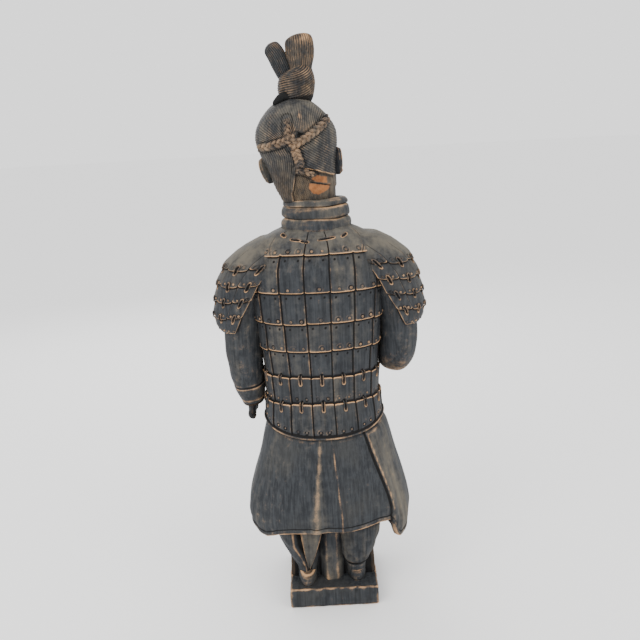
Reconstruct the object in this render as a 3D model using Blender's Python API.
# Terracotta warrior statue: a standing armoured figure on a low plinth, its head set in the collar.
# The figure faces -Y and stands on the XY plane, with the origin at the centre of the plinth's underside.
import math

import bmesh
import bpy
import numpy as np

# Driving dimensions in metres
TOTAL_HEIGHT = 1.0
PLINTH_WIDTH = 0.162
PLINTH_DEPTH = 0.188
PLINTH_HEIGHT = 0.036
PLINTH_EDGE = 0.003
BLOCK_INSET = 0.0015
BLOCK_REAR = 0.046
BLOCK_BULGE = 0.012
BLOCK_BULGE_HALF = 0.021
BLOCK_FRONT = 0.004
BLOCK_CHAMFER = 0.006
NECK_RADIUS = 0.042
NECK_CLEARANCE = 0.0012
SOCKET_DEPTH = 0.050
SEAT_GAP = 0.0003
TENON_RISE = 0.016
TENON_LEAN = 0.008
COLLAR_WALL = 0.0125

# Profiles below are written for a figure of one unit, plinth included, and scaled to the sizes above.
DESIGN_PLINTH = 0.036
SCALE = (TOTAL_HEIGHT - PLINTH_HEIGHT) / (1.0 - DESIGN_PLINTH)

# Where the axes of the trunk, the shoulders, the robe and the neck stand, and the whole figure on the plinth
AXIS_X = 0.002
SHOULDER_AXIS_X = -0.0015
ROBE_AXIS_X = 0.0
NECK_AXIS_X = -0.0025
FIGURE_SHIFT_X = -0.0035
COLLAR_TOP = 0.738
COLLAR_SIDES = 22
COLLAR_BOTTOM = 0.680
COLLAR_ROLLS = 3
COLLAR_LIP_SHARE = 0.93
BACK = math.pi / 2

# How square each section is: 2 is a true ellipse
TRUNK_POWER = 2.35
ROBE_POWER = 2.2
HEAD_POWER = 2.1

# Armour: number of plates round the body, heights of the row edges, relief
PLATE_COLUMNS = 16
ROW_EDGES = (0.682, 0.645, 0.582, 0.528, 0.479, 0.432, 0.385)
PLATE_LIP = 0.0035
PLATE_GROOVE = 0.0025
GROOVE_SHARE = 0.07
COAT_HEM = 0.347
COAT_HEM_BACK_DROP = 0.026
COAT_HEM_FRONT_DROP = 0.040
COAT_ROLL = 0.0045
COAT_ROLL_HEIGHT = 0.008
UP_LAPPED_ROWS = 2

# Robe: top, foot of its table, height and thickness of the turned hem
ROBE_TOP = 0.365
ROBE_FOOT = 0.123
# Rows of the robe, as shares of the way down from its top to its foot
ROBE_ROWS = tuple(step / 242.0 for step in (0, 25, 60, 100, 135, 170, 200))
ROBE_HEM = 0.143
HEM_BAND = 0.0085
HEM_LIFT = 0.0022
HEM_UNDERCUT = 0.013
HEM_RECESS = 0.022
RIDGE_HEIGHT = 0.0045
FLAP_LIFT = 0.0045
BLOCK_TOP = 0.158

# Each line: height, half width, depth behind the axis, depth before it
TORSO = (
    (0.300, 0.110, 0.086, 0.092),
    (0.350, 0.1065, 0.084, 0.088),
    (0.385, 0.1015, 0.079, 0.082),
    (0.432, 0.1015, 0.076, 0.080),
    (0.479, 0.1055, 0.078, 0.083),
    (0.528, 0.112, 0.082, 0.088),
    (0.582, 0.120, 0.085, 0.091),
    (0.620, 0.124, 0.084, 0.088),
    (0.645, 0.121, 0.080, 0.081),
    (0.662, 0.110, 0.072, 0.072),
    (0.676, 0.088, 0.064, 0.064),
    (0.690, 0.062, 0.057, 0.057),
)
SKIRT = (
    (0.365, 0.096, 0.076, 0.080),
    (0.340, 0.105, 0.081, 0.086),
    (0.305, 0.1145, 0.087, 0.092),
    (0.283, 0.1195, 0.090, 0.094),
    (0.259, 0.1260, 0.093, 0.096),
    (0.228, 0.1355, 0.097, 0.100),
    (0.190, 0.1455, 0.100, 0.103),
    (0.160, 0.1500, 0.102, 0.104),
    (0.124, 0.1400, 0.100, 0.102),
)
HEAD = (
    (0.010, 0.0460, 0.047, 0.046),
    (0.020, 0.0490, 0.050, 0.060),
    (0.032, 0.0525, 0.054, 0.067),
    (0.045, 0.0550, 0.059, 0.069),
    (0.060, 0.0585, 0.065, 0.070),
    (0.080, 0.0635, 0.072, 0.070),
    (0.097, 0.0660, 0.075, 0.070),
    (0.110, 0.0645, 0.074, 0.069),
    (0.125, 0.0590, 0.068, 0.063),
    (0.140, 0.0485, 0.059, 0.053),
    (0.152, 0.0370, 0.047, 0.040),
    (0.160, 0.0260, 0.033, 0.026),
    (0.165, 0.0150, 0.016, 0.012),
)
# Each line: height, outer half width, radius across, radius in depth, angle reached round the arm
PAULDRON = (
    (0.671, 0.094, 0.020, 0.030, 170),
    (0.663, 0.112, 0.040, 0.048, 155),
    (0.650, 0.136, 0.052, 0.060, 140),
    (0.630, 0.1585, 0.058, 0.067, 122),
    (0.600, 0.1740, 0.056, 0.067, 112),
    (0.570, 0.1820, 0.051, 0.061, 108),
    (0.540, 0.1860, 0.048, 0.055, 95),
    (0.520, 0.1830, 0.045, 0.051, 84),
    (0.508, 0.1720, 0.036, 0.045, 72),
)

SCALE_COLUMNS = 6
SCALE_ROWS = 5
SCALE_TOP = 0.650
SCALE_BOTTOM = 0.508
SCALE_GROOVE = 0.0018

# How much higher each shoulder stands than the table says
RAISE_LEFT = 0.002
RAISE_RIGHT = 0.007

HEAD_PIVOT = (0.0085, -0.003, 0.738)
HEAD_TILT = math.radians(8.5)
HAIR_STEP = 0.003
EAR_HEIGHT = 0.051
NAPE_DROP = 0.0080
CROWN_SHIFT = 0.0035
LOOP_TOP = 0.2558


def smooth(edge0, edge1, value):
    share = np.clip((value - edge0) / (edge1 - edge0), 0.0, 1.0)
    return share * share * (3.0 - 2.0 * share)


def bump(value, centre, width):
    return np.exp(-(((value - centre) / width) ** 2))


def profile(table, height):
    """The widths that a table gives at this height, read along straight lines between its rows."""
    rows = sorted(table)
    heights = [row[0] for row in rows]
    return [np.interp(height, heights, [row[i] for row in rows]) for i in range(1, len(rows[0]))]


def oval(angle, half_width, behind, before, power):
    """A point of a rounded-rectangle section, angle 0 on +X and 90 degrees on +Y."""
    c, s = np.cos(angle), np.sin(angle)
    depth = np.where(s > 0, behind, before)
    x = half_width * np.sign(c) * np.abs(c) ** (2.0 / power)
    y = depth * np.sign(s) * np.abs(s) ** (2.0 / power)
    return x, y


def angle_at_share(share, widths, power):
    """The angle that lies this share of the way round the section, counted from the back."""
    angles = BACK + np.linspace(0.0, 2.0 * math.pi, 721)
    x, y = oval(angles, *widths, power)
    run = np.concatenate([[0.0], np.cumsum(np.hypot(np.diff(x), np.diff(y)))])
    return np.interp(np.mod(share, 1.0), run / run[-1], angles)


def mesh_object(name, points, faces):
    mesh = bpy.data.meshes.new(name)
    mesh.from_pydata([tuple(map(float, p)) for p in points], [], faces)
    shape = bmesh.new()
    shape.from_mesh(mesh)
    bmesh.ops.remove_doubles(shape, verts=shape.verts, dist=1e-6)
    bmesh.ops.recalc_face_normals(shape, faces=shape.faces)
    shape.to_mesh(mesh)
    shape.free()
    obj = bpy.data.objects.new(name, mesh)
    bpy.context.scene.collection.objects.link(obj)
    return obj


def loft(name, rings):
    """A closed skin over rings of equal point counts, with a fan at each end."""
    count = len(rings[0])
    points = [p for ring in rings for p in ring]
    faces = []
    for level in range(len(rings) - 1):
        for i in range(count):
            j = (i + 1) % count
            low, high = level * count, (level + 1) * count
            faces.append((low + i, low + j, high + j, high + i))
    for level in (0, len(rings) - 1):
        centre = len(points)
        points.append(np.mean(np.asarray(rings[level], float), axis=0))
        base = level * count
        for i in range(count):
            faces.append((base + i, base + (i + 1) % count, centre))
    return mesh_object(name, points, faces)


def tube(name, path, radii, sides, swell=None, side=(1.0, 0.0, 0.0)):
    """A loft of ovals along a path. radii holds (across, in depth) for each point of it."""
    path = np.asarray(path, float)
    tangents = np.gradient(path, axis=0)
    rings = []
    for k, (point, tangent) in enumerate(zip(path, tangents)):
        tangent = tangent / np.linalg.norm(tangent)
        across = np.asarray(side, float) - tangent * np.dot(side, tangent)
        across = across / np.linalg.norm(across)
        depth = np.cross(tangent, across)
        angles = np.arange(sides) * 2.0 * math.pi / sides
        grow = 1.0 if swell is None else swell(k, angles)
        ring = [
            point + across * radii[k][0] * math.cos(a) * g + depth * radii[k][1] * math.sin(a) * g
            for a, g in zip(angles, np.broadcast_to(grow, angles.shape))
        ]
        rings.append(ring)
    return loft(name, rings)


def path_of(points, count):
    """A smooth path through the given points, cut into count points of equal spacing."""
    points = np.asarray(points, float)
    ends = np.vstack([2 * points[0] - points[1], points, 2 * points[-1] - points[-2]])
    fine = []
    for i in range(1, len(ends) - 2):
        a, b, c, d = ends[i - 1:i + 3]
        for t in np.linspace(0.0, 1.0, 12, endpoint=False):
            square, cube = 2 * a - 5 * b + 4 * c - d, 3 * b - a - 3 * c + d
            fine.append(0.5 * (2 * b + (c - a) * t + square * t ** 2 + cube * t ** 3))
    fine = np.array(fine + [points[-1]])
    run = np.concatenate([[0.0], np.cumsum(np.linalg.norm(np.diff(fine, axis=0), axis=1))])
    at = np.linspace(0.0, run[-1], count)
    return np.stack([np.interp(at, run, fine[:, i]) for i in range(3)], axis=1)


def box(name, low, high, bevel):
    x0, y0, z0 = low
    x1, y1, z1 = high
    points = [(x, y, z) for x in (x0, x1) for y in (y0, y1) for z in (z0, z1)]
    faces = [(0, 1, 3, 2), (4, 6, 7, 5), (0, 4, 5, 1), (2, 3, 7, 6), (0, 2, 6, 4), (1, 5, 7, 3)]
    obj = mesh_object(name, points, faces)
    if bevel:
        modifier = obj.modifiers.new("edge", "BEVEL")
        modifier.width = bevel
        modifier.segments = 1
        bake(obj)
    return obj


def bake(obj):
    """Applies the modifiers to the mesh."""
    graph = bpy.context.evaluated_depsgraph_get()
    graph.update()
    mesh = bpy.data.meshes.new_from_object(obj.evaluated_get(graph))
    obj.modifiers.clear()
    obj.data = mesh


def combine(target, others, operation="UNION", solver="EXACT"):
    for other in others:
        modifier = target.modifiers.new("join", "BOOLEAN")
        modifier.operation = operation
        modifier.solver = solver
        modifier.object = other
        bake(target)
        bpy.data.objects.remove(other)
    return target


def to_size(obj):
    """Moves a shape from figure units to metres, with its soles on top of the plinth."""
    for vertex in obj.data.vertices:
        x, y, z = vertex.co
        vertex.co = ((x + FIGURE_SHIFT_X) * SCALE, y * SCALE, PLINTH_HEIGHT + (z - DESIGN_PLINTH) * SCALE)
    return obj


def armour_hem(angle):
    back = np.maximum(0.0, np.sin(angle))
    front = np.maximum(0.0, -np.sin(angle))
    return COAT_HEM - COAT_HEM_BACK_DROP * back ** 1.5 - COAT_HEM_FRONT_DROP * front ** 1.5


def skirt_hem(angle):
    """Height of the robe's lower edge: it rises over the legs and hangs at the corners."""
    turn = np.mod(angle, 2.0 * math.pi)
    base = ROBE_HEM + 0.008 * np.maximum(0.0, np.sin(turn)) ** 4
    right_rise = 0.012 * smooth(1.75, 2.35, turn) * (turn < 2.43)
    right_drop = -0.026 * (turn >= 2.43) * smooth(3.25, 2.55, turn)
    left_drop = -0.014 * bump(turn, 0.58, 0.30)
    front_drop = -0.012 * bump(turn, 2.0 * math.pi - 0.65, 0.35) - 0.012 * bump(turn, math.pi + 0.65, 0.35)
    return base + right_rise + right_drop + left_drop + front_drop


def axis_x(height):
    return float(np.interp(height, (0.28, 0.38, 0.62, 0.67), (ROBE_AXIS_X, AXIS_X, AXIS_X, SHOULDER_AXIS_X)))


def armour():
    """The plate coat: rows of raised plates with grooves between, each row lapping the next."""
    shares = []
    for column in range(PLATE_COLUMNS):
        for part in (0.0, GROOVE_SHARE, 1.0 - GROOVE_SHARE):
            shares.append(((column + 0.5 + part) / PLATE_COLUMNS, part > 0.0))
    step = 0.0012
    levels = [(0.308, -0.012, False), (None, -0.004, False)]
    levels += [(None, COAT_ROLL, False), (None, COAT_ROLL, False)]
    hem_lift = [0.0, 0.0, 0.001, COAT_ROLL_HEIGHT]
    levels.append((None, 0.0005, True))
    hem_lift.append(COAT_ROLL_HEIGHT + 0.0025)
    last_row = len(ROW_EDGES) - 1
    for row in range(last_row, 0, -1):
        laps_up = row > last_row - UP_LAPPED_ROWS
        levels.append((ROW_EDGES[row] - step, PLATE_LIP if laps_up else 0.0, True))
        levels.append((ROW_EDGES[row] + step, 0.0 if laps_up else PLATE_LIP, True))
    levels.append((0.666, 0.001, True))
    levels.append((ROW_EDGES[0], 0.0, False))
    levels.append((0.689, -0.001, False))
    rings = []
    for index, (height, out, plated) in enumerate(levels):
        ring = []
        for share, on_plate in shares:
            widths = profile(TORSO, 0.33 if height is None else height)
            angle = angle_at_share(share, widths, TRUNK_POWER)
            z = armour_hem(angle) + hem_lift[index] if height is None else height
            widths = profile(TORSO, float(z))
            push = out - (PLATE_GROOVE if plated and not on_plate else 0.0)
            x, y = oval(angle, widths[0] + push, widths[1] + push, widths[2] + push, TRUNK_POWER)
            ring.append((axis_x(z) + x, y, z))
        rings.append(ring)
    return loft("armour", rings)


def flap_angle(height):
    """Where the overlapping edge of the robe's right flap runs down the back."""
    return math.pi - np.interp(height, (0.12, 0.34), (math.radians(40), math.radians(55)))


def fold_relief(angle, height):
    """How far the robe's folds stand out."""
    low = 1.0 - smooth(0.17, 0.36, height)
    turn = angle - BACK
    ridges = bump(turn, np.interp(height, (0.15, 0.33), (-0.22, -0.10)), 0.045)
    ridges = RIDGE_HEIGHT * (ridges + bump(turn, np.interp(height, (0.15, 0.33), (0.22, 0.13)), 0.045))
    side = 0.004 * low * np.cos(3.0 * (turn - 0.4)) * smooth(0.5, 0.9, np.abs(turn))
    return ridges + side


def robe():
    """The skirt of the robe, open below, with folds, an overlapping flap and a turned hem."""
    sides = 38
    rings = []
    spread = [BACK + 2.0 * math.pi * i / sides for i in range(sides)]

    def ring_at(share_down, inward, lift):
        ring = []
        for angle in spread:
            hem = float(skirt_hem(angle))
            z = ROBE_TOP + (hem - ROBE_TOP) * share_down + lift
            widths = profile(SKIRT, max(ROBE_FOOT, z - (hem - 0.135) * share_down))
            edge = flap_angle(z)
            over = FLAP_LIFT * (smooth(-0.01, 0.05, angle - edge) - smooth(4.2, 4.4, angle))
            out = float(fold_relief(angle, z)) + float(over) * float(smooth(0.36, 0.33, z)) - inward
            x, y = oval(angle, widths[0] + out, widths[1] + out, widths[2] + out, ROBE_POWER)
            ring.append((axis_x(z) + x, y, z))
        return ring

    for share_down in ROBE_ROWS:
        rings.append(ring_at(share_down, 0.0, 0.0))
    rings.append(ring_at(1.0, 0.0, HEM_BAND))
    rings.append(ring_at(1.0, -HEM_LIFT, HEM_BAND - 0.0015))
    rings.append(ring_at(1.0, 0.0007 - HEM_LIFT, 0.0))
    rings.append(ring_at(1.0, HEM_UNDERCUT - 0.003, 0.001))
    rings.append(ring_at(1.0, HEM_UNDERCUT, HEM_RECESS))
    return loft("robe", rings)


def collar():
    """Three rolls of a neck cloth, one above the other."""
    height = (COLLAR_TOP - COLLAR_BOTTOM) / COLLAR_ROLLS
    bore = (NECK_RADIUS + NECK_CLEARANCE) / SCALE
    wall = COLLAR_WALL / SCALE
    rings = []
    for roll in range(COLLAR_ROLLS):
        grow = np.interp(roll / (COLLAR_ROLLS - 1), (0.0, 0.5, 1.0), (0.0055, 0.0035, 0.0))
        for share, out in ((0.03, -0.0045), (0.32, 0.0), (0.74, 0.0)):
            z = COLLAR_BOTTOM + height * (roll + share)
            radius = bore + wall + grow + out
            ring = []
            for i in range(COLLAR_SIDES):
                angle = 2.0 * math.pi * i / COLLAR_SIDES
                x, y = radius * math.cos(angle), radius * math.sin(angle)
                ring.append((NECK_AXIS_X + x, HEAD_PIVOT[1] + y * 1.02, z))
            rings.append(ring)
    centre = np.array([NECK_AXIS_X, HEAD_PIVOT[1], COLLAR_TOP])
    shrink = np.array([COLLAR_LIP_SHARE, COLLAR_LIP_SHARE, 0.0])
    rings.append([centre + (np.array(point) - centre) * shrink for point in rings[-1]])
    return loft("collar", rings)


def pauldron(side):
    """Shoulder armour: rows of overlapping scales wrapped round the upper arm."""
    shares = []
    for column in range(SCALE_COLUMNS):
        for part in (0.0, 0.12, 0.88):
            shares.append(((column + part) / SCALE_COLUMNS, part > 0.0))
    shares.append((1.0, False))
    edges = np.linspace(SCALE_TOP, SCALE_BOTTOM, SCALE_ROWS + 1)
    levels = [(0.671, 0.0, False), (0.663, 0.0, False)]
    levels.append((edges[0] + 0.001, 0.002, True))
    for k in range(1, len(edges)):
        levels.append((edges[k - 1] - 0.002, 0.0, True))
        levels.append((edges[k], PLATE_LIP, True))
    rings = []
    for height, out, plated in levels:
        raised = (RAISE_LEFT if side > 0 else RAISE_RIGHT) * float(smooth(0.55, 0.62, height))
        outer, across, depth, reach = profile(PAULDRON, height - raised)
        centre = outer - across
        ring = []
        for share, on_plate in shares:
            angle = math.radians(reach) * (2.0 * share - 1.0)
            push = out - (SCALE_GROOVE if plated and not on_plate else 0.0)
            x = side * (centre + (across + push) * math.cos(angle))
            y = (depth + push) * math.sin(angle)
            ring.append((x, y, height))
        ring.append((side * (centre - 0.012), 0.0, height))
        rings.append(ring)
    return loft("pauldron", rings)


def sleeve_left():
    path = path_of(
        [
            (0.100, 0, 0.618), (0.130, 0.002, 0.565), (0.1385, 0.003, 0.500), (0.1380, 0.001, 0.440),
            (0.1300, -0.012, 0.369),
        ],
        10,
    )
    radii = [
        (0.032, 0.042), (0.035, 0.044), (0.036, 0.043), (0.0340, 0.040), (0.0335, 0.038),
        (0.0330, 0.037), (0.0320, 0.035), (0.0305, 0.033), (0.0275, 0.030), (0.0190, 0.022),
    ]

    def creases(k, angles):
        return 1.0 + 0.05 * np.sin(2.0 * angles + 1.7 * k) * (4 < k < 9)

    return tube("sleeve_left", path, radii, 11, creases)


def sleeve_right():
    path = path_of(
        [
            (-0.100, 0, 0.618), (-0.130, 0.002, 0.565), (-0.140, 0.003, 0.505), (-0.136, -0.004, 0.453),
            (-0.130, -0.045, 0.450), (-0.118, -0.108, 0.484),
        ],
        12,
    )
    radii = [
        (0.032, 0.042), (0.035, 0.044), (0.036, 0.043), (0.034, 0.041), (0.033, 0.040), (0.033, 0.038),
        (0.033, 0.036), (0.033, 0.036), (0.032, 0.034), (0.030, 0.032), (0.028, 0.029), (0.024, 0.024),
    ]

    def creases(k, angles):
        return 1.0 + 0.05 * np.sin(2.0 * angles + 1.9 * k) * (4 < k < 11)

    return tube("sleeve_right", path, radii, 11, creases)


def fingers(base, down, curl, spread, width):
    """Four curled fingers in a row. base is the first knuckle, spread the step to the next one."""
    made = []
    for k in range(4):
        knuckle = np.asarray(base) + np.asarray(spread) * k
        reach = (1.0, 1.08, 1.02, 0.85)[k]
        middle = knuckle + np.asarray(down) * reach
        tip = middle + np.asarray(curl) * reach
        path = path_of([knuckle, middle, tip], 4)
        radii = [(width, width), (width, width * 1.05), (width * 0.95, width), (width * 0.6, width * 0.6)]
        made.append(tube("finger", path, radii, 6, side=spread))
    return made


def hand_left():
    palm = tube(
        "palm",
        [(0.1310, -0.011, 0.378), (0.1325, -0.014, 0.362), (0.1335, -0.017, 0.350), (0.1335, -0.018, 0.343)],
        [(0.0085, 0.016), (0.0085, 0.018), (0.0080, 0.0185), (0.006, 0.016)],
        8,
    )
    row = fingers(
        (0.1355, -0.003, 0.352), (0.0005, -0.001, -0.011), (-0.008, 0.0, -0.004), (0, -0.0092, 0.0012), 0.0048
    )
    thumb = tube(
        "thumb",
        path_of([(0.1300, -0.031, 0.364), (0.1290, -0.036, 0.352), (0.1300, -0.034, 0.341)], 4),
        [(0.0055, 0.0055), (0.0055, 0.0055), (0.005, 0.005), (0.003, 0.003)],
        6,
    )
    return [palm, thumb] + row


def hand_right():
    palm = tube(
        "fist",
        [
            (-0.1175, -0.100, 0.482), (-0.1160, -0.113, 0.489), (-0.1155, -0.124, 0.494),
            (-0.1145, -0.1375, 0.498),
        ],
        [(0.014, 0.017), (0.016, 0.020), (0.0165, 0.021), (0.0145, 0.0195)],
        8,
    )
    row = fingers(
        (-0.1235, -0.134, 0.511), (0.014, -0.006, 0.0), (0.006, 0.013, 0.0), (0.0006, 0.0022, -0.0098), 0.0058
    )
    thumb = tube(
        "thumb",
        path_of([(-0.1215, -0.112, 0.510), (-0.117, -0.124, 0.5165), (-0.109, -0.134, 0.514)], 4),
        [(0.0065, 0.0065), (0.0065, 0.006), (0.006, 0.006), (0.0035, 0.0035)],
        6,
    )
    return [palm, thumb] + row


def leg(side):
    """A trouser leg gathered at the ankle, and the shin below it."""
    top, low = (0.055, 0.0435) if side < 0 else (0.068, 0.0475)
    rows = (
        (0.165, 0.000, 0.037, 0.050), (0.140, 0.000, 0.038, 0.049), (0.118, 0.25, 0.0375, 0.046),
        (0.098, 0.55, 0.034, 0.043), (0.080, 0.80, 0.029, 0.038), (0.066, 0.95, 0.0235, 0.033),
        (0.059, 1.00, 0.0195, 0.033), (0.034, 1.00, 0.0175, 0.033),
    )
    rings = []
    for height, share, across, depth in rows:
        centre = side * (top + (low - top) * share)
        ring = []
        for i in range(11):
            angle = 2.0 * math.pi * i / 11
            fold = 1.0 + 0.045 * math.cos(3.0 * angle + 2.2 * side) * (height > 0.062)
            x = centre + across * math.cos(angle) * fold
            y = 0.022 + 0.009 * share + depth * math.sin(angle) * fold
            ring.append((x, y, height))
        rings.append(ring)
    return loft("leg", rings)


def pleat():
    """The loose fold of the left trouser leg that hangs to a point."""
    rows = (
        (0.150, 0.036, 0.023, 0.010), (0.118, 0.038, 0.0175, 0.010), (0.086, 0.041, 0.010, 0.008),
        (0.060, 0.0435, 0.002, 0.002),
    )
    rings = []
    for height, centre, across, thick in rows:
        ring = []
        for x, y in ((-1, -1), (1, -1), (1, 0.3), (0.3, 1), (-0.6, 1), (-1, 0.3)):
            ring.append((centre + across * x, 0.060 + thick * y, height))
        rings.append(ring)
    return loft("pleat", rings)


def shoe(side):
    """A low square-toed shoe. Its rim stands up at the back of the ankle."""
    centre = -0.044 if side < 0 else 0.0475
    rear = 0.072 if side < 0 else 0.084
    rows = (
        (0.032, 0.0190, rear, 0.082), (0.044, 0.0195, rear, 0.082), (0.0505, 0.0190, rear - 0.003, 0.076),
        (0.0535, 0.0170, rear - 0.010, 0.018),
    )
    rings = []
    for height, across, behind, before in rows:
        ring = []
        for i in range(16):
            angle = 2.0 * math.pi * (i + 0.5) / 16
            x, y = oval(angle, across, behind, before, 3.6 if math.sin(angle) < 0 else 2.4)
            wide = 1.0 + 0.30 * smooth(0.03, -0.05, y)
            ring.append((centre + float(x) * float(wide), float(y), height))
        rings.append(ring)
    return loft("shoe", rings)


def plinth():
    base = box(
        "plinth",
        (-PLINTH_WIDTH / 2, -PLINTH_DEPTH / 2, 0.0),
        (PLINTH_WIDTH / 2, PLINTH_DEPTH / 2, PLINTH_HEIGHT),
        PLINTH_EDGE,
    )
    return base


def support():
    """The block behind the legs that carries the robe, standing out between them."""
    half = PLINTH_WIDTH / 2 - BLOCK_INSET
    top = PLINTH_HEIGHT + (BLOCK_TOP - DESIGN_PLINTH) * SCALE
    levels = ((PLINTH_HEIGHT / 2, 0.0, 0.0), (PLINTH_HEIGHT * 2.2, -0.002, -0.003), (top, -0.006, -0.012))
    rings = []
    for z, grow, rear in levels:
        x = half + grow
        back, cut = BLOCK_REAR + rear, BLOCK_CHAMFER
        wide, out = BLOCK_BULGE_HALF, back + BLOCK_BULGE
        outline = (
            (-x, BLOCK_FRONT), (x, BLOCK_FRONT), (x, back - cut), (x - cut, back), (wide, back),
            (0.5 * wide, out), (-0.5 * wide, out), (-wide, back), (cut - x, back), (-x, back - cut),
        )
        rings.append([(a, b, z) for a, b in outline])
    return loft("support", rings)


def face_relief(x, height, front):
    """How far the features stand before the plain front of the head. front is 0 at the ears and 1 ahead."""
    across = np.abs(x)
    nose = 0.0138 * np.exp(-(x / (0.0055 + 0.0055 * smooth(0.075, 0.050, height))) ** 2)
    nose = nose * smooth(0.098, 0.058, height) * smooth(0.0445, 0.0515, height)
    brow = 0.0030 * bump(height, 0.0975 - 6.0 * (across - 0.02) ** 2, 0.0045) * bump(across, 0.022, 0.020)
    socket = -0.0050 * bump(height, 0.0855, 0.008) * bump(across, 0.0235, 0.013)
    lid = 0.0040 * bump(height, 0.0835, 0.0042) * bump(across, 0.0245, 0.0095)
    cheek = 0.0020 * bump(height, 0.064, 0.012) * bump(across, 0.031, 0.012)
    lips = 0.0034 * bump(height, 0.0375, 0.0034) * bump(x, 0.0, 0.0135)
    lips = lips + 0.0034 * bump(height, 0.0310, 0.0032) * bump(x, 0.0, 0.0115)
    parting = -0.0018 * bump(height, 0.0344, 0.0013) * bump(x, 0.0, 0.0135)
    chin = 0.0040 * bump(height, 0.0195, 0.0065) * bump(x, 0.0, 0.013)
    return (nose + brow + socket + lid + cheek + lips + parting + chin) * smooth(0.15, 0.45, front)


def hair_line(angle):
    """Height of the hair's lower edge: high over the brow, down past the ears to the nape."""
    front = np.maximum(0.0, -np.sin(angle))
    return 0.020 + 0.108 * smooth(0.05, 0.55, front)


def on_head(x, height, out):
    """A point of the back of the head, for the braids, in head units."""
    widths = profile(HEAD, height)
    share = np.clip(abs(x) / widths[0], 0.0, 0.98)
    y = widths[1] * (1.0 - share ** HEAD_POWER) ** (1.0 / HEAD_POWER)
    return (x, float(y) + out, height)


def skull():
    """Head, face, hair and the tenon of the neck, upright in head units."""
    heights = (
        0.0098, 0.018, 0.0245, 0.031, 0.0343, 0.0375, 0.043, 0.049, 0.053, 0.062, 0.072, 0.0785,
        0.0835, 0.0885, 0.0965, 0.106, 0.118, 0.128, 0.132, 0.142, 0.152, 0.160, 0.165,
    )
    front_angles = [1.5 * math.pi + math.asin(t) for t in np.linspace(-0.80, 0.80, 15)]
    rear_angles = list(np.linspace(front_angles[-1], front_angles[0] + 2.0 * math.pi, 17)[1:-1])
    angles = np.array(front_angles + rear_angles)
    rings = []
    radius = NECK_RADIUS / SCALE
    slope = math.tan(HEAD_TILT)
    x, y = 0.95 * radius * np.cos(angles), 0.95 * radius * np.sin(angles)
    rings.append(list(zip(x, y, 0.0012 + slope * x / 0.95)))
    for height in heights:
        widths = profile(HEAD, height)
        hair = HAIR_STEP * smooth(-0.002, 0.002, height - hair_line(angles)) * smooth(0.165, 0.150, height)
        x, y = oval(angles, widths[0], widths[1], widths[2], HEAD_POWER)
        grow = 1.0 + hair / 0.065
        front = np.maximum(0.0, -np.sin(angles))
        out = face_relief(x, height, front)
        shift = CROWN_SHIFT * float(bump(height, 0.13, 0.03))
        # The lower edge keeps level with the collar while the head leans.
        sink = float(smooth(0.034, 0.0098, height))
        rings.append(list(zip(x * grow + shift, y * grow - out, height + sink * (slope * x - NAPE_DROP))))
    return loft("skull", rings)


def ear(side):
    """An ear with a raised rim and a sunken bowl."""
    rows = ((-0.006, 0.012, 0.021), (0.003, 0.013, 0.023), (0.008, 0.0115, 0.021), (0.0045, 0.0065, 0.013))
    rings = []
    for out, across, tall in rows:
        ring = []
        for i in range(10):
            angle = 2.0 * math.pi * i / 10
            y = 0.004 + across * math.cos(angle) * (0.78 if math.sin(angle) < 0 else 1.0) + out * 0.5
            z = tall * math.sin(angle)
            ring.append((side * (0.0575 + out + 0.10 * z), y, z + EAR_HEIGHT + 0.004 * side))
        rings.append(ring)
    return loft("ear", rings)


def braid(points, radius, lumps):
    """A plait laid on the back of the head, swelling where its strands cross."""
    path = path_of([on_head(x, z, 0.0030) for x, z in points], 2 * lumps + 1)
    radii = []
    for k in range(len(path)):
        full = radius * (1.0 if k % 2 else 0.74)
        radii.append((full, full * 0.85))
    return tube("braid", path, radii, 6, side=(0.0, 0.0, 1.0))


def topknot():
    """The wrapped bun on the crown and the two loops of hair that rise from it."""
    rings = []
    rows = (
        (0.150, 0.025), (0.159, 0.0285), (0.171, 0.0290), (0.184, 0.0300), (0.198, 0.0285), (0.210, 0.0235),
        (0.218, 0.016),
    )
    for level, (height, radius) in enumerate(rows):
        ring = []
        for i in range(12):
            angle = 2.0 * math.pi * i / 12
            wrap = 1.0 + 0.05 * math.cos(2.0 * angle + 2.4 * level)
            x = -0.0165 - 0.14 * (height - 0.18) + radius * wrap * math.cos(angle)
            ring.append((x, 0.004 + radius * wrap * math.sin(angle), height))
        rings.append(ring)
    bun = loft("bun", rings)
    big = tube(
        "loop",
        path_of(
            [(-0.026, 0.006, 0.206), (-0.0345, 0.006, 0.228), (-0.0355, 0.004, 0.246), (-0.035, 0, LOOP_TOP)],
            6,
        ),
        [(0.0145, 0.014), (0.0150, 0.014), (0.0195, 0.015), (0.0230, 0.016), (0.0220, 0.015), (0.013, 0.008)],
        9,
    )
    small = tube(
        "loop",
        path_of([(-0.008, 0.0, 0.204), (0.0005, 0.0, 0.224), (0.007, 0.0, 0.240), (0.015, 0.0, 0.252)], 5),
        [(0.0100, 0.010), (0.0100, 0.0105), (0.0120, 0.0115), (0.0135, 0.0115), (0.008, 0.007)],
        8,
    )
    tie = tube(
        "tie",
        [(0.008, 0.020, 0.150), (0.018, 0.026, 0.154), (0.027, 0.028, 0.157)],
        [(0.006, 0.006), (0.006, 0.005), (0.004, 0.003)],
        5,
        side=(0.0, 1.0, 0.0),
    )
    return [bun, big, small, tie]


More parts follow.
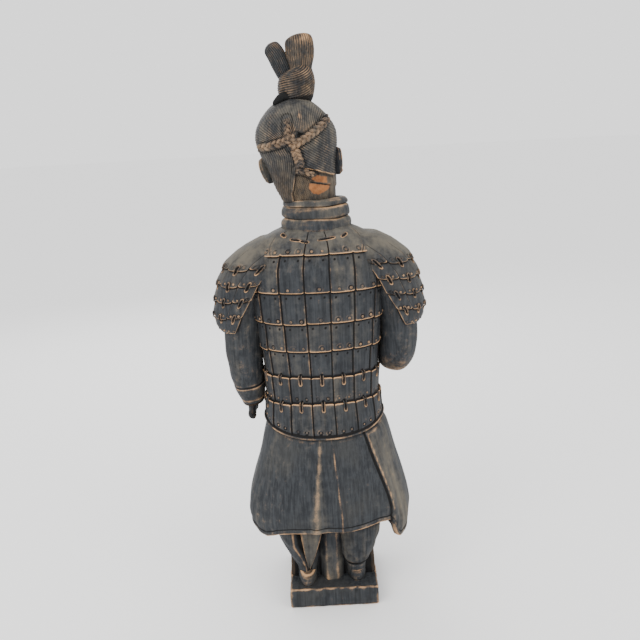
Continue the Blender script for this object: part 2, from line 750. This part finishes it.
def braids():
    # Each is a run of (x, height) points along the back of the head. They meet at the junction.
    junction = (0.0005, 0.080)
    left = braid([(0.061, 0.094), (0.040, 0.093), (0.015, 0.092), junction], 0.0075, 5)
    right = braid([(-0.052, 0.122), (-0.055, 0.108), (-0.040, 0.099), (-0.016, 0.092), junction], 0.0075, 6)
    small = braid([(0.016, 0.126), (0.010, 0.104), junction], 0.0055, 3)
    plait = braid([junction, (-0.001, 0.064), (-0.003, 0.050)], 0.0090, 3)
    tuft = braid([(-0.001, 0.050), (-0.014, 0.045), (-0.026, 0.043)], 0.0050, 2)
    return [left, right, small, plait, tuft]


def set_on_neck(obj):
    """Leans the head about the top of the collar."""
    c, s = math.cos(HEAD_TILT), math.sin(HEAD_TILT)
    for vertex in obj.data.vertices:
        x, y, z = vertex.co
        vertex.co = (HEAD_PIVOT[0] + x * c + z * s, HEAD_PIVOT[1] + y, HEAD_PIVOT[2] - x * s + z * c)
    return obj


def neck_axis():
    """Where the axis of the neck meets the top of the collar."""
    top = PLINTH_HEIGHT + (COLLAR_TOP - DESIGN_PLINTH) * SCALE
    return (NECK_AXIS_X + FIGURE_SHIFT_X) * SCALE, HEAD_PIVOT[1] * SCALE, top


def neck_round(name, radius, levels):
    """A round post on the neck's axis. Each level is a height and a shift towards +X."""
    x, y, _ = neck_axis()
    rings = []
    for z, shift in levels:
        ring = []
        for i in range(28):
            angle = 2.0 * math.pi * i / 28
            ring.append((x + shift + radius * math.cos(angle), y + radius * math.sin(angle), z))
        rings.append(ring)
    return loft(name, rings)


def outer_skin(shape):
    """Fills the small voids that curled fingers enclose, by keeping only the outer surface."""
    shape.verts.ensure_lookup_table()
    seen = set()
    skins = []
    for start in shape.verts:
        if start in seen:
            continue
        seen.add(start)
        skin, queue = [], [start]
        while queue:
            vertex = queue.pop()
            skin.append(vertex)
            for edge in vertex.link_edges:
                other = edge.other_vert(vertex)
                if other not in seen:
                    seen.add(other)
                    queue.append(other)
        skins.append(skin)
    skins.sort(key=len)
    for skin in skins[:-1]:
        bmesh.ops.delete(shape, geom=skin, context="VERTS")


def clean(obj, name, colour):
    shape = bmesh.new()
    shape.from_mesh(obj.data)
    outer_skin(shape)
    bmesh.ops.triangulate(shape, faces=shape.faces)
    bmesh.ops.recalc_face_normals(shape, faces=shape.faces)
    shape.to_mesh(obj.data)
    shape.free()
    obj.name = name
    obj.data.name = name
    material = bpy.data.materials.new(name + "_clay")
    material.use_nodes = True
    shader = material.node_tree.nodes["Principled BSDF"]
    shader.inputs["Base Color"].default_value = colour
    shader.inputs["Roughness"].default_value = 0.8
    obj.data.materials.clear()
    obj.data.materials.append(material)
    return obj


def make_body():
    figure = armour()
    shapes = [robe(), collar(), pauldron(1), pauldron(-1), sleeve_left(), sleeve_right()]
    shapes += hand_left() + hand_right()
    shapes += [leg(1), leg(-1), pleat(), shoe(1), shoe(-1)]
    # EXACT leaves open edges where the sleeves run through the scales, so the trunk uses MANIFOLD.
    combine(figure, shapes, solver="MANIFOLD")
    to_size(figure)
    combine(figure, [support(), plinth()], solver="MANIFOLD")
    top = neck_axis()[2]
    levels = ((top - SOCKET_DEPTH, 0.0), (top + 0.03, 0.0))
    socket = neck_round("socket", NECK_RADIUS + NECK_CLEARANCE, levels)
    combine(figure, [socket], "DIFFERENCE", solver="MANIFOLD")
    return clean(figure, "body", (0.075, 0.085, 0.095, 1.0))


def make_head():
    figure = skull()
    shapes = [ear(1), ear(-1)] + braids() + topknot()
    combine(figure, shapes)
    set_on_neck(figure)
    to_size(figure)
    top = neck_axis()[2]
    levels = ((top - SOCKET_DEPTH + SEAT_GAP, 0.0), (top + 0.001, 0.0), (top + TENON_RISE, TENON_LEAN))
    tenon = neck_round("tenon", NECK_RADIUS, levels)
    combine(figure, [tenon])
    return clean(figure, "head", (0.085, 0.085, 0.085, 1.0))


for old in list(bpy.data.objects):
    bpy.data.objects.remove(old)
make_body()
make_head()
